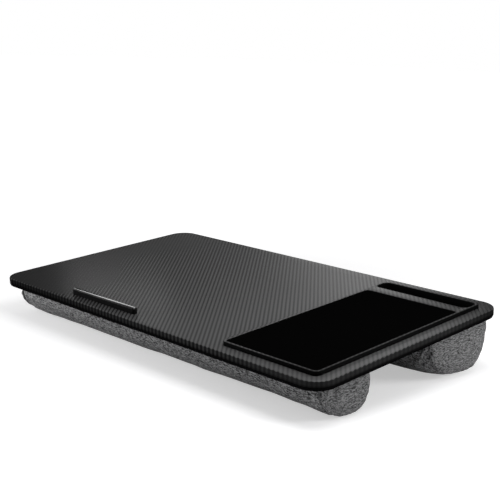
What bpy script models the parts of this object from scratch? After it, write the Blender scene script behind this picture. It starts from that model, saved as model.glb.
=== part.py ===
# Laptop tray: a flat board with a raised platform that holds a mouse pad and a phone slot, a low
# ledge along the front, and two cushions that rest on the lap. Metres, +Z up, +X to the user's
# right, -Y towards the user. The origin is on the surface that the cushions stand on, under the
# middle of the tray. The board leans towards the user, because the back cushion is the taller.

import math

import bmesh
import bpy

# Board and its printed foil
BOARD_LENGTH = 0.536
BOARD_DEPTH = 0.305
BOARD_THICKNESS = 0.010
BOARD_CORNER_RADIUS = 0.0235
BOARD_TOP_ROUND = 0.0015
BOARD_BOTTOM_ROUND = 0.0025
FOIL_THICKNESS = 0.0006
FOIL_LIP_HEIGHT = 0.003
BOARD_TILT = math.radians(5.0)

# Raised platform on the right of the board
PLATFORM_WIDTH = 0.1298
PLATFORM_RISE = 0.005
PLATFORM_RIGHT_MARGIN = 0.0142
PLATFORM_FRONT_MARGIN = 0.0136
PLATFORM_BACK_MARGIN = 0.0200
PLATFORM_CORNER_RADIUS = 0.007
PLATFORM_EDGE_ROUND = 0.0008

# Mouse pad let into the platform
PAD_MARGIN = 0.0022
PAD_LEFT_MARGIN = 0.0038
PAD_THICKNESS = 0.0012
PAD_CORNER_RADIUS = 0.005
PAD_SUNK = 0.0003

# Phone slot behind the pad, with the cup that hangs below it
SLOT_SIDE_MARGIN = 0.0022
SLOT_BACK_MARGIN = 0.0043
SLOT_PAD_SPACING = 0.0156
SLOT_WIDTH = 0.0224
SLOT_CORNER_RADIUS = 0.0075
SLOT_MOUTH_ROUND = 0.0008
CUP_WALL = 0.0015
CUP_FLOOR = 0.0015

# Bosses below the platform, and the screws that hold it from under the board
BOSS_RADIUS = 0.005
BOSS_LENGTH = 0.004
BOSS_SIDE_INSET = 0.020
BOSS_FRONT_INSET = 0.036
BOSS_BACK_INSET = 0.032
SCREW_RADIUS = 0.00175
SCREW_HEAD_RADIUS = 0.0035
SCREW_HEAD_HEIGHT = 0.0022
SCREW_BITE = 0.0050
SCREW_RECESS = 0.0004
SCREW_SOCKET_RADIUS = 0.0012
SCREW_SOCKET_DEPTH = 0.0011

# Ledge along the front of the board
LEDGE_LENGTH = 0.1165
LEDGE_WIDTH = 0.0066
LEDGE_HEIGHT = 0.0070
LEDGE_FRONT_MARGIN = 0.0140
LEDGE_LEFT_MARGIN = 0.1335
LEDGE_ROUND = 0.0014
LEDGE_CORNER_RADIUS = 0.0022
LEDGE_PEG_RADIUS = 0.0022
LEDGE_PEG_LENGTH = 0.0050
LEDGE_PEG_END_INSET = 0.0130
LEDGE_PEG_COUNT = 3

# The clear part of the board's top stays this far from the platform and from the ledge
TOP_CLEARANCE = 0.0010

# Cushions, measured across the board from its edges
CUSHION_END_SETBACK = 0.0135
CLOTH_THICKNESS = 0.0012
BACKING_THICKNESS = 0.0010
BACKING_CORNER_RADIUS = 0.0120
FRONT_CUSHION_SETBACK = 0.0175
FRONT_CUSHION_WIDTH = 0.0750
FRONT_CUSHION_HEIGHT = 0.0430
BACK_CUSHION_SETBACK = 0.0045
BACK_CUSHION_WIDTH = 0.1140
CUSHION_CROWN = 0.0006
FRONT_SEAM_PULL = 0.0006
BACK_SEAM_PULL = 0.0040
CUSHION_END_BULGE = 0.0045
CUSHION_FLAT_DEPTH = 0.0005

# Where the lowest line of a cushion lies across its width, and how square each side is
FRONT_LOWEST_SHARE = 0.60
BACK_LOWEST_SHARE = 0.63
FRONT_SQUARENESS_SHARES = (2.45, 2.30)
BACK_SQUARENESS_SHARES = (2.80, 2.15)
SEAM_PULL_REACH_SHARE = 0.14

# Running clearance between solids that touch, and how far a cut runs past what it cuts
GAP = 0.0003
OVERRUN = 0.002

# Numbers of faces, and the angle from which an edge is drawn hard
CORNER_STEPS = 7
ROUND_STEPS = 3
FINE_ROUND_STEPS = 2
HOLE_STEPS = 20
SIDE_STEPS = 8
STATION_COUNT = 15
PANEL_RING_SHARES = (0.30, 0.62, 0.86, 1.00)
HARD_EDGE_ANGLE = math.radians(35.0)

# Levels and places on the board, in its own frame, where its underside is at height zero
HALF_LENGTH = BOARD_LENGTH / 2
HALF_DEPTH = BOARD_DEPTH / 2
PLATFORM_DEPTH = BOARD_DEPTH - PLATFORM_FRONT_MARGIN - PLATFORM_BACK_MARGIN
CORE_TOP = BOARD_THICKNESS - FOIL_THICKNESS - GAP
PLATFORM_BASE = BOARD_THICKNESS + GAP
PLATFORM_TOP = BOARD_THICKNESS + PLATFORM_RISE
PLATFORM_X = HALF_LENGTH - PLATFORM_RIGHT_MARGIN - PLATFORM_WIDTH / 2
PLATFORM_Y = -HALF_DEPTH + PLATFORM_FRONT_MARGIN + PLATFORM_DEPTH / 2
PAD_WIDTH = PLATFORM_WIDTH - PAD_LEFT_MARGIN - PAD_MARGIN
PAD_DEPTH = PLATFORM_DEPTH - PAD_MARGIN - SLOT_PAD_SPACING - SLOT_WIDTH - SLOT_BACK_MARGIN
PAD_X = PLATFORM_X + (PAD_LEFT_MARGIN - PAD_MARGIN) / 2
PAD_Y = PLATFORM_Y - PLATFORM_DEPTH / 2 + PAD_MARGIN + PAD_DEPTH / 2
PAD_TOP = PLATFORM_TOP - PAD_SUNK
PAD_RECESS_FLOOR = PAD_TOP - PAD_THICKNESS - GAP
SLOT_LENGTH = PLATFORM_WIDTH - 2 * SLOT_SIDE_MARGIN
SLOT_Y = PAD_Y + PAD_DEPTH / 2 + SLOT_PAD_SPACING + SLOT_WIDTH / 2
CUP_BASE = GAP
BOSS_BASE = PLATFORM_BASE - BOSS_LENGTH
SCREW_TIP = BOSS_BASE + SCREW_BITE
LEDGE_X = -HALF_LENGTH + LEDGE_LEFT_MARGIN + LEDGE_LENGTH / 2
LEDGE_Y = -HALF_DEPTH + LEDGE_FRONT_MARGIN + LEDGE_WIDTH / 2
LEDGE_TOP = BOARD_THICKNESS + LEDGE_HEIGHT
CLEAR_RIGHT = PLATFORM_X - PLATFORM_WIDTH / 2 - TOP_CLEARANCE
CLEAR_FRONT = LEDGE_Y + LEDGE_WIDTH / 2 + TOP_CLEARANCE
BACKING_TOP = -GAP
CUSHION_RIM = BACKING_TOP - BACKING_THICKNESS - GAP
CUSHION_LENGTH = BOARD_LENGTH - 2 * CUSHION_END_SETBACK


class Cushion:
    """Where one cushion lies across the board, from its front side to its back side."""

    def __init__(self, front, width, seam_pull, lowest_share, squareness_shares):
        self.seam_pull = seam_pull
        self.front = front
        self.back = front + width
        self.lowest = front + width * lowest_share
        self.squareness_shares = squareness_shares


FRONT = Cushion(-HALF_DEPTH + FRONT_CUSHION_SETBACK, FRONT_CUSHION_WIDTH, FRONT_SEAM_PULL,
                FRONT_LOWEST_SHARE, FRONT_SQUARENESS_SHARES)
BACK = Cushion(HALF_DEPTH - BACK_CUSHION_SETBACK - BACK_CUSHION_WIDTH, BACK_CUSHION_WIDTH,
               BACK_SEAM_PULL, BACK_LOWEST_SHARE, BACK_SQUARENESS_SHARES)

# The front cushion sets how high the board stands; the back one reaches down to the same surface
BOARD_LIFT = FRONT_CUSHION_HEIGHT - FRONT.lowest * math.sin(BOARD_TILT)

# The board leans about its middle, so its outline is moved back over the origin
FRONT_REACH = ((HALF_DEPTH - BOARD_TOP_ROUND) * math.cos(BOARD_TILT)
               + (BOARD_THICKNESS - BOARD_TOP_ROUND) * math.sin(BOARD_TILT) + BOARD_TOP_ROUND)
BACK_REACH = ((HALF_DEPTH - BOARD_BOTTOM_ROUND) * math.cos(BOARD_TILT)
              - BOARD_BOTTOM_ROUND * math.sin(BOARD_TILT) + BOARD_BOTTOM_ROUND)
BOARD_SHIFT = (FRONT_REACH - BACK_REACH) / 2


def clear_scene():
    for item in list(bpy.data.objects):
        bpy.data.objects.remove(item, do_unlink=True)


def finish_material(name, colour, roughness, metallic=0.0):
    material = bpy.data.materials.new(name)
    material.use_nodes = True
    shader = material.node_tree.nodes["Principled BSDF"]
    shader.inputs["Base Color"].default_value = (*colour, 1.0)
    shader.inputs["Roughness"].default_value = roughness
    shader.inputs["Metallic"].default_value = metallic
    return material


def make_materials():
    return {
        "foil": finish_material("printed_foil", (0.050, 0.050, 0.052), 0.42),
        "core": finish_material("black_fibreboard", (0.012, 0.012, 0.012), 0.75),
        "platform": finish_material("moulded_plastic", (0.016, 0.016, 0.017), 0.38),
        "pad": finish_material("pad_cloth", (0.003, 0.003, 0.003), 0.85),
        "ledge": finish_material("gloss_plastic", (0.010, 0.010, 0.010), 0.12),
        "screw": finish_material("zinc_steel", (0.55, 0.55, 0.53), 0.35, 1.0),
        "cover": finish_material("heather_cloth", (0.110, 0.110, 0.112), 0.95),
        "backing": finish_material("backing_cloth", (0.010, 0.010, 0.010), 0.95),
        "foam": finish_material("pale_foam", (0.70, 0.68, 0.62), 0.90),
    }


def make_object(name, mesh, material=None, parent=None):
    item = bpy.data.objects.new(name, mesh)
    bpy.context.scene.collection.objects.link(item)
    item.parent = parent
    if material is not None:
        mesh.materials.append(material)
    return item


def finish_mesh(name, model):
    """Turns a bmesh into a smooth-shaded mesh with its hard edges kept."""
    mesh = bpy.data.meshes.new(name)
    model.to_mesh(mesh)
    model.free()
    mesh.shade_smooth()
    mesh.set_sharp_from_angle(angle=HARD_EDGE_ANGLE)
    return mesh


def loft(name, rings, closed_start=True, closed_end=True, looped=True):
    """Surface through rows of points, which run counter-clockwise seen from the last row."""
    model = bmesh.new()
    rows = [[model.verts.new(point) for point in ring] for ring in rings]
    count = len(rings[0])
    for low, high in zip(rows, rows[1:]):
        for i in range(count if looped else count - 1):
            j = (i + 1) % count
            model.faces.new((low[i], low[j], high[j], high[i]))
    if closed_start:
        model.faces.new(list(reversed(rows[0])))
    if closed_end:
        model.faces.new(rows[-1])
    return finish_mesh(name, model)


def rounded_ring(centre, half_x, half_y, radius, height):
    """Rectangle with round corners at one height, counter-clockwise from above."""
    ring = []
    for quarter, (side_x, side_y) in enumerate(((1, 1), (-1, 1), (-1, -1), (1, -1))):
        for step in range(CORNER_STEPS + 1):
            angle = math.pi / 2 * (quarter + step / CORNER_STEPS)
            ring.append((centre[0] + side_x * (half_x - radius) + radius * math.cos(angle),
                         centre[1] + side_y * (half_y - radius) + radius * math.sin(angle), height))
    return ring


def rounded_block(name, centre, half_x, half_y, radius, profile, closed_start=True):
    """Solid of a rounded rectangle, where profile holds pairs of inset and height."""
    rings = [rounded_ring(centre, half_x - inset, half_y - inset, radius - inset, height)
             for inset, height in profile]
    return loft(name, rings, closed_start)


def split_faces(mesh, planes):
    """Cuts the faces of a mesh along planes, each a point and a direction, and keeps all of it."""
    model = bmesh.new()
    model.from_mesh(mesh)
    for point, direction in planes:
        geometry = model.verts[:] + model.edges[:] + model.faces[:]
        bmesh.ops.bisect_plane(model, geom=geometry, plane_co=point, plane_no=direction)
    model.to_mesh(mesh)
    model.free()


def quarter_round(radius, inset, height, start_angle, steps=ROUND_STEPS):
    """Inset and height along a quarter circle whose centre is at inset and height."""
    points = []
    for step in range(steps + 1):
        angle = start_angle + math.pi / 2 * step / steps
        points.append((inset - radius * math.cos(angle), height + radius * math.sin(angle)))
    return points


def circle(centre, radius, height):
    """Points of a level circle, counter-clockwise from above."""
    angles = [2 * math.pi * step / HOLE_STEPS for step in range(HOLE_STEPS)]
    return [(centre[0] + radius * math.cos(angle), centre[1] + radius * math.sin(angle), height)
            for angle in angles]


def turned(name, centre, profile):
    """Round solid about an upright axis, where profile holds pairs of radius and height."""
    return loft(name, [circle(centre, radius, height) for radius, height in profile])


def add_wall(item, thickness):
    """Gives a surface its thickness on its inner side."""
    wall = item.modifiers.new("wall", "SOLIDIFY")
    wall.thickness = thickness
    wall.offset = -1.0
    wall.use_even_offset = True


def combine(target, tools, operation):
    """Cuts the tools out of an object, or joins them to it."""
    for tool in tools:
        tool.hide_render = True
        tool.display_type = "WIRE"
        modifier = target.modifiers.new(tool.name, "BOOLEAN")
        modifier.operation = operation
        modifier.solver = "EXACT"
        modifier.object = tool
    if operation == "DIFFERENCE":
        target.modifiers.new("flat_shading", "WEIGHTED_NORMAL").keep_sharp = True


def boss_places():
    """Middles of the four bosses below the platform."""
    left = PLATFORM_X - PLATFORM_WIDTH / 2 + BOSS_SIDE_INSET
    right = PLATFORM_X + PLATFORM_WIDTH / 2 - BOSS_SIDE_INSET
    front = PAD_Y - PAD_DEPTH / 2 + BOSS_FRONT_INSET
    back = PAD_Y + PAD_DEPTH / 2 - BOSS_BACK_INSET
    return [(left, front), (right, front), (left, back), (right, back)]


def peg_places():
    """Middles of the pegs below the ledge."""
    reach = LEDGE_LENGTH / 2 - LEDGE_PEG_END_INSET
    spread = [2 * i / (LEDGE_PEG_COUNT - 1) - 1 for i in range(LEDGE_PEG_COUNT)]
    return [(LEDGE_X + reach * place, LEDGE_Y) for place in spread]


def slot_block(name, grow, low, high):
    """Upright block in the shape of the phone slot, grown by a wall or a clearance."""
    return rounded_block(name, (PLATFORM_X, SLOT_Y), SLOT_LENGTH / 2 + grow, SLOT_WIDTH / 2 + grow,
                         SLOT_CORNER_RADIUS + grow, [(0.0, low), (0.0, high)])


def make_core(frame, materials):
    """Fibreboard panel, rebated round its edge so that the foil lies flush with it."""
    wrap = FOIL_THICKNESS + GAP
    profile = quarter_round(BOARD_BOTTOM_ROUND, BOARD_BOTTOM_ROUND, BOARD_BOTTOM_ROUND, -math.pi / 2)
    profile += [(0.0, FOIL_LIP_HEIGHT), (wrap, FOIL_LIP_HEIGHT)]
    profile += quarter_round(BOARD_TOP_ROUND - wrap, BOARD_TOP_ROUND,
                             BOARD_THICKNESS - BOARD_TOP_ROUND, 0.0)
    mesh = rounded_block("board_core", (0.0, 0.0), HALF_LENGTH, HALF_DEPTH, BOARD_CORNER_RADIUS, profile)
    core = make_object("board_core", mesh, materials["core"], frame)
    tools = [make_object("cup_opening", slot_block("cup_opening", CUP_WALL + GAP, -OVERRUN,
                                                   CORE_TOP + OVERRUN), None, frame)]
    for number, place in enumerate(boss_places(), 1):
        seat = SCREW_RECESS + SCREW_HEAD_HEIGHT + GAP
        wide, narrow = SCREW_HEAD_RADIUS + GAP, SCREW_RADIUS + GAP
        pocket = BOSS_RADIUS + GAP
        profile = [(wide, -OVERRUN), (wide, SCREW_RECESS), (narrow, seat), (narrow, BOSS_BASE - GAP),
                   (pocket, BOSS_BASE - GAP), (pocket, CORE_TOP + OVERRUN)]
        name = f"boss_pocket_{number}"
        tools.append(make_object(name, turned(name, place, profile), None, frame))
    for number, place in enumerate(peg_places(), 1):
        base = PLATFORM_BASE - LEDGE_PEG_LENGTH - GAP
        reach = LEDGE_PEG_RADIUS + GAP
        name = f"peg_pocket_{number}"
        mesh = turned(name, place, [(reach, base), (reach, CORE_TOP + OVERRUN)])
        tools.append(make_object(name, mesh, None, frame))
    combine(core, tools, "DIFFERENCE")


def make_foil(frame, materials):
    """Printed foil over the top and the edge of the board, with a flat of its own clear of fittings."""
    profile = [(0.0, FOIL_LIP_HEIGHT + GAP)]
    profile += quarter_round(BOARD_TOP_ROUND, BOARD_TOP_ROUND, BOARD_THICKNESS - BOARD_TOP_ROUND, 0.0)
    mesh = rounded_block("board_foil", (0.0, 0.0), HALF_LENGTH, HALF_DEPTH, BOARD_CORNER_RADIUS,
                         profile, closed_start=False)
    split_faces(mesh, [((CLEAR_RIGHT, 0.0, 0.0), (1.0, 0.0, 0.0)),
                       ((0.0, CLEAR_FRONT, 0.0), (0.0, 1.0, 0.0))])
    foil = make_object("board_foil", mesh, materials["foil"], frame)
    add_wall(foil, FOIL_THICKNESS)
    low, high = CORE_TOP - OVERRUN, BOARD_THICKNESS + OVERRUN
    tools = [make_object("foil_slot", slot_block("foil_slot", CUP_WALL + GAP, low, high), None, frame)]
    holes = [(place, BOSS_RADIUS + GAP) for place in boss_places()]
    holes += [(place, LEDGE_PEG_RADIUS + GAP) for place in peg_places()]
    for number, (place, radius) in enumerate(holes, 1):
        name = f"foil_hole_{number}"
        tools.append(make_object(name, turned(name, place, [(radius, low), (radius, high)]), None, frame))
    combine(foil, tools, "DIFFERENCE")


def make_platform(frame, materials):
    """Moulded platform with the pad's recess, the phone cup and four screw bosses in one piece."""
    half_x, half_y = PLATFORM_WIDTH / 2, PLATFORM_DEPTH / 2
    profile = [(0.0, PLATFORM_BASE)]
    profile += quarter_round(PLATFORM_EDGE_ROUND, PLATFORM_EDGE_ROUND,
                             PLATFORM_TOP - PLATFORM_EDGE_ROUND, 0.0, FINE_ROUND_STEPS)
    mesh = rounded_block("accessory_platform", (PLATFORM_X, PLATFORM_Y), half_x, half_y,
                         PLATFORM_CORNER_RADIUS, profile)
    platform = make_object("accessory_platform", mesh, materials["platform"], frame)
    root = PLATFORM_BASE + (PAD_RECESS_FLOOR - PLATFORM_BASE) / 2
    joined = [make_object("cup_body", slot_block("cup_body", CUP_WALL, CUP_BASE, root), None, frame)]
    for number, place in enumerate(boss_places(), 1):
        name = f"boss_{number}"
        mesh = turned(name, place, [(BOSS_RADIUS, BOSS_BASE), (BOSS_RADIUS, root)])
        joined.append(make_object(name, mesh, None, frame))
    combine(platform, joined, "UNION")
    recess = rounded_block("pad_recess", (PAD_X, PAD_Y), PAD_WIDTH / 2, PAD_DEPTH / 2,
                           PAD_CORNER_RADIUS, [(0.0, PAD_RECESS_FLOOR), (0.0, PLATFORM_TOP + OVERRUN)])
    tools = [make_object("pad_recess", recess, None, frame), make_object("slot", slot_mesh(), None, frame)]
    for number, place in enumerate(boss_places(), 1):
        name = f"boss_bore_{number}"
        bore = SCREW_RADIUS + GAP
        mesh = turned(name, place, [(bore, BOSS_BASE - OVERRUN), (bore, SCREW_TIP + GAP)])
        tools.append(make_object(name, mesh, None, frame))
    combine(platform, tools, "DIFFERENCE")


def slot_mesh():
    """The hollow of the phone slot, which widens in a small round at its mouth."""
    profile = [(0.0, CUP_BASE + CUP_FLOOR), (0.0, PLATFORM_TOP - SLOT_MOUTH_ROUND),
               (-SLOT_MOUTH_ROUND, PLATFORM_TOP), (-SLOT_MOUTH_ROUND, PLATFORM_TOP + OVERRUN)]
    return rounded_block("slot", (PLATFORM_X, SLOT_Y), SLOT_LENGTH / 2, SLOT_WIDTH / 2,
                         SLOT_CORNER_RADIUS, profile)


def make_pad(frame, materials):
    """Cloth-faced pad that lies in the platform's recess."""
    low = PAD_RECESS_FLOOR + GAP
    mesh = rounded_block("mouse_pad", (PAD_X, PAD_Y), PAD_WIDTH / 2 - GAP, PAD_DEPTH / 2 - GAP,
                         PAD_CORNER_RADIUS - GAP, [(0.0, low), (0.0, PAD_TOP)])
    make_object("mouse_pad", mesh, materials["pad"], frame)


def make_screws(frame, materials):
    """Countersunk screws, driven up through the board into the platform's bosses."""
    for number, place in enumerate(boss_places(), 1):
        name = f"platform_screw_{number}"
        neck = SCREW_RECESS + SCREW_HEAD_HEIGHT
        socket = SCREW_RECESS + SCREW_SOCKET_DEPTH
        profile = [(SCREW_SOCKET_RADIUS, socket), (SCREW_SOCKET_RADIUS, SCREW_RECESS),
                   (SCREW_HEAD_RADIUS, SCREW_RECESS), (SCREW_RADIUS, neck),
                   (SCREW_RADIUS, SCREW_TIP - SCREW_RADIUS), (SCREW_RADIUS / 2, SCREW_TIP)]
        make_object(name, turned(name, place, profile), materials["screw"], frame)


def make_ledge(frame, materials):
    """Moulded bar with rounded top edges, held by pegs pressed into the board."""
    profile = [(0.0, PLATFORM_BASE)]
    profile += quarter_round(LEDGE_ROUND, LEDGE_ROUND, LEDGE_TOP - LEDGE_ROUND, 0.0)
    mesh = rounded_block("device_ledge", (LEDGE_X, LEDGE_Y), LEDGE_LENGTH / 2, LEDGE_WIDTH / 2,
                         LEDGE_CORNER_RADIUS, profile)
    ledge = make_object("device_ledge", mesh, materials["ledge"], frame)
    pegs = []
    for number, place in enumerate(peg_places(), 1):
        name = f"peg_{number}"
        low, high = PLATFORM_BASE - LEDGE_PEG_LENGTH, PLATFORM_BASE + LEDGE_PEG_RADIUS
        mesh = turned(name, place, [(LEDGE_PEG_RADIUS, low), (LEDGE_PEG_RADIUS, high)])
        pegs.append(make_object(name, mesh, None, frame))
    combine(ledge, pegs, "UNION")


def make_backing(frame, materials):
    """Black cloth glued under the board, to which both cushions are sewn."""
    half_y = (BACK.back - FRONT.front) / 2
    middle = (BACK.back + FRONT.front) / 2
    profile = [(0.0, BACKING_TOP - BACKING_THICKNESS), (0.0, BACKING_TOP)]
    mesh = rounded_block("cushion_backing", (0.0, middle), CUSHION_LENGTH / 2, half_y,
                         BACKING_CORNER_RADIUS, profile)
    make_object("cushion_backing", mesh, materials["backing"], frame)


def rim_place(y):
    """Where a place across the board lies on the underside of the backing cloth."""
    world_y = BOARD_SHIFT + y * math.cos(BOARD_TILT) - CUSHION_RIM * math.sin(BOARD_TILT)
    world_z = BOARD_LIFT + y * math.sin(BOARD_TILT) + CUSHION_RIM * math.cos(BOARD_TILT)
    return world_y, world_z


def hang(x, y, fall, cushion, pull, floor):
    """Point of a cushion's skin, a share of the way from its rim down to its lowest line."""
    world_y, rim_z = rim_place(y)
    lean = fall * (rim_place(cushion.lowest)[1] - pull) * math.sin(BOARD_TILT)
    level = rim_z * (1 - fall) + (pull - CUSHION_FLAT_DEPTH) * fall
    return (x, world_y + lean, max(level, floor))


def drawn_in(cushion, x, skin):
    """How far a cushion's skin is drawn in at a place along it: crowned, and tight at the seams."""
    share = abs(x) / (CUSHION_LENGTH / 2)
    near_seam = max(0.0, 1 - (1 - share) / SEAM_PULL_REACH_SHARE)
    return skin + CUSHION_CROWN * share ** 2 + cushion.seam_pull * near_seam ** 2


def side_angles(cushion, side):
    """Angles from the rim down to the flat that a cushion stands on, and to its lowest line."""
    height = rim_place(cushion.lowest)[1]
    flat_fall = height / (height + CUSHION_FLAT_DEPTH / 2)
    flat_angle = math.asin(flat_fall ** (cushion.squareness_shares[side] / 2))
    return [flat_angle * step / SIDE_STEPS for step in range(SIDE_STEPS + 1)] + [math.pi / 2]


def section_outline(cushion, pull):
    """Place across the board and share of the fall, along a skin from front rim to back rim."""
    outline = []
    for side, reach in enumerate((cushion.front - cushion.lowest + pull,
                                  cushion.back - cushion.lowest - pull)):
        power = 2 / cushion.squareness_shares[side]
        points = [(cushion.lowest + reach * max(math.cos(angle), 0.0) ** power, math.sin(angle) ** power)
                  for angle in side_angles(cushion, side)]
        outline += points if side == 0 else list(reversed(points[:-1]))
    return outline


def cushion_ring(cushion, x, pull, floor):
    """One cross-section of a cushion's skin."""
    return [hang(x, y, fall, cushion, pull, floor) for y, fall in section_outline(cushion, pull)]


def stations(half):
    """Places along a cushion, closer together near its ends."""
    turns = [math.pi * (i / (STATION_COUNT - 1) - 1 / 2) for i in range(STATION_COUNT)]
    return [half * math.sin(turn) for turn in turns]


def make_cover(name, cushion, materials):
    """Cloth wrap of a cushion, open at both ends and along the top."""
    rings = [cushion_ring(cushion, x, drawn_in(cushion, x, 0.0), 0.0) for x in stations(CUSHION_LENGTH / 2)]
    mesh = loft(name, rings, closed_start=False, closed_end=False, looped=False)
    add_wall(make_object(name, mesh, materials["cover"]), CLOTH_THICKNESS)


def make_end_panel(name, cushion, side, materials):
    """Bulged cloth panel sewn to the end of a wrap."""
    seam = CUSHION_LENGTH / 2 + GAP
    edge = cushion_ring(cushion, 0.0, drawn_in(cushion, CUSHION_LENGTH / 2, 0.0), 0.0)
    middle_y = sum(y for x, y, z in edge) / len(edge)
    middle_z = max(z for x, y, z in edge) / 2
    rings = []
    for share in reversed(PANEL_RING_SHARES):
        x = side * (seam + CLOTH_THICKNESS + CUSHION_END_BULGE * (1 - share ** 2))
        rings.append([(x, middle_y + (y - middle_y) * share, middle_z + (z - middle_z) * share)
                      for _, y, z in edge])
    if side < 0:
        rings = [list(reversed(ring)) for ring in rings]
    mesh = loft(name, rings, closed_start=False)
    add_wall(make_object(name, mesh, materials["cover"]), CLOTH_THICKNESS)


def make_foam(name, cushion, materials):
    """Foam filling, which stands clear of the cloth all round."""
    skin = CLOTH_THICKNESS + GAP
    rings = [cushion_ring(cushion, x, drawn_in(cushion, x, skin), skin)
             for x in stations(CUSHION_LENGTH / 2 - GAP)]
    make_object(name, loft(name, rings), materials["foam"])


def make_cushions(materials):
    """Each cushion is a wrap, two end panels and its filling."""
    for word, cushion in (("front", FRONT), ("back", BACK)):
        make_cover(f"{word}_cushion_cover", cushion, materials)
        make_foam(f"{word}_cushion_foam", cushion, materials)
        make_end_panel(f"{word}_cushion_end_left", cushion, -1, materials)
        make_end_panel(f"{word}_cushion_end_right", cushion, 1, materials)


def build_tray():
    clear_scene()
    materials = make_materials()
    frame = make_object("board_frame", None)
    frame.location = (0.0, BOARD_SHIFT, BOARD_LIFT)
    frame.rotation_euler = (BOARD_TILT, 0.0, 0.0)
    make_core(frame, materials)
    make_foil(frame, materials)
    make_platform(frame, materials)
    make_pad(frame, materials)
    make_screws(frame, materials)
    make_ledge(frame, materials)
    make_backing(frame, materials)
    make_cushions(materials)
    bpy.context.view_layer.update()


build_tray()
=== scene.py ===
# %% [markdown]
# # A lap tray, dressed in Blender
#
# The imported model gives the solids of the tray: a thin board that leans towards the user, a
# raised platform with a mouse pad and a phone slot, a low ledge, and two cushions below. This
# lesson keeps those sizes and gives each visible surface its finer shape and its finish.

import math

import bmesh
import bpy
from mathutils import Matrix, Vector, noise


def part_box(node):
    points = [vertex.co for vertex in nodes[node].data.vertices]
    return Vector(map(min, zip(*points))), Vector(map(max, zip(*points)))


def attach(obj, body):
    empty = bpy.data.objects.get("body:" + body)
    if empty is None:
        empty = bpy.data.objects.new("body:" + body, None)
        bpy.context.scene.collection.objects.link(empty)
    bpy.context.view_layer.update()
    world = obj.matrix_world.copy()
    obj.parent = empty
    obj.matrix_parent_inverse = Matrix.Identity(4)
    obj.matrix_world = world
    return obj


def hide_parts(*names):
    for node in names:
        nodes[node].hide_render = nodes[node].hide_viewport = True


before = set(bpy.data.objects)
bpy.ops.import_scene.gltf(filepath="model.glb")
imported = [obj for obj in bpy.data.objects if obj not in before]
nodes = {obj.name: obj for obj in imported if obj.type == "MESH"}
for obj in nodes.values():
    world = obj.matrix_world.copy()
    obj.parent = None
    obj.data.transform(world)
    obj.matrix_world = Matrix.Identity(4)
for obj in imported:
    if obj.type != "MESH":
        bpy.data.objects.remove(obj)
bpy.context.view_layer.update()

# %% [markdown]
# ## Sizes
# The board, the platform, the pad and the ledge are easiest to model level, with the underside
# of the board at height zero. The finished mesh is then leaned back by five degrees and lifted
# onto its cushions. The values repeat those of the solids, in metres. A round is drawn in a
# number of steps, more of them where it is large.

# %% Named sizes
BOARD_LOW, BOARD_HIGH = Vector((-0.268, -0.1525, 0.0)), Vector((0.268, 0.1525, 0.010))
BOARD_CORNER, TOP_ROUND, BOTTOM_ROUND = 0.0235, 0.0015, 0.0025
FILM, FILM_LIP, GAP = 0.0006, 0.003, 0.0003
BOARD_STEPS, PIECE_STEPS, CUP_STEPS = 20, 12, 10

PLATFORM_LOW, PLATFORM_HIGH = Vector((0.1240, -0.1389, 0.0103)), Vector((0.2538, 0.1325, 0.0150))
PLATFORM_CORNER, PLATFORM_ROUND = 0.007, 0.0008
RECESS_LOW, RECESS_HIGH = Vector((0.1278, -0.1367, 0.0132)), Vector((0.2516, 0.0902, 0.0170))
RECESS_ROUND = 0.0004
PAD_LOW, PAD_HIGH = Vector((0.1281, -0.1364, 0.0135)), Vector((0.2513, 0.0899, 0.0147))
PAD_CORNER, PAD_ROUND = 0.0047, 0.00035
SLOT_LOW, SLOT_HIGH = Vector((0.1262, 0.1058, 0.0018)), Vector((0.2516, 0.1282, 0.0170))
SLOT_CORNER, SLOT_ROUND, CUP_WALL, CUP_TOP = 0.0075, 0.0008, 0.0015, 0.0120
OPENING_BOTTOM, OPENING_TOP = -0.002, 0.0130

LEDGE_LOW, LEDGE_HIGH = Vector((-0.1345, -0.1385, 0.0103)), Vector((-0.0180, -0.1319, 0.0170))
LEDGE_CORNER, LEDGE_ROUND = 0.0022, 0.0014

TILT, SHIFT, LIFT = math.radians(5.0), 0.000477, 0.050844
NEAR = 0.00002

for name in ("board_foil", "accessory_platform", "mouse_pad", "device_ledge"):
    low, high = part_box(name)
    print(name, [round(value * 1000, 1) for value in (*low, *high)])

# %% [markdown]
# ## The camera
# Its place, turn and lens were fitted to the board's straight edges, so the render can be laid
# over the photograph. A matrix holds the turn: its columns point right, up and backwards.

# %% Camera
CAMERA_PLACE = Vector((0.8339, -0.81180, 0.34668))
CAMERA_TURN = Matrix(((0.70152, -0.1673, 0.69273),
                      (0.71172, 0.11499, -0.69298),
                      (0.03628, 0.97918, 0.19974)))
SENSOR_WIDTH, LENS = 36.0, 72.584
NEAREST, FARTHEST = 0.05, 50.0
camera_data = bpy.data.cameras.new("camera")
camera_data.sensor_width = SENSOR_WIDTH
camera_data.lens = LENS
camera_data.clip_start, camera_data.clip_end = NEAREST, FARTHEST
camera = bpy.data.objects.new("camera", camera_data)
camera.matrix_world = Matrix.Translation(CAMERA_PLACE) @ CAMERA_TURN.normalized().to_4x4()
bpy.context.scene.collection.objects.link(camera)
bpy.context.scene.camera = camera
print("camera", camera.matrix_world.to_euler())

# %% [markdown]
# ## Tools for modelling by hand
# Every piece starts as a primitive and is shaped with Blender's own operators. An operator acts
# on whatever is selected, so each tool first deselects everything. Edges and faces are then
# picked by their place and direction, just as one would click them. A face is a wall or a level
# top by how far its normal points up.

# %% Selecting one piece, and parts of it
WALL_SLOPE, TOP_SLOPE, STRAIGHT = 0.2, 0.9, 0.9


def only(piece):
    """Deselects everything, then makes one piece the selected and active one."""
    bpy.ops.object.select_all(action="DESELECT")
    piece.select_set(True)
    bpy.context.view_layer.objects.active = piece


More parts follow.
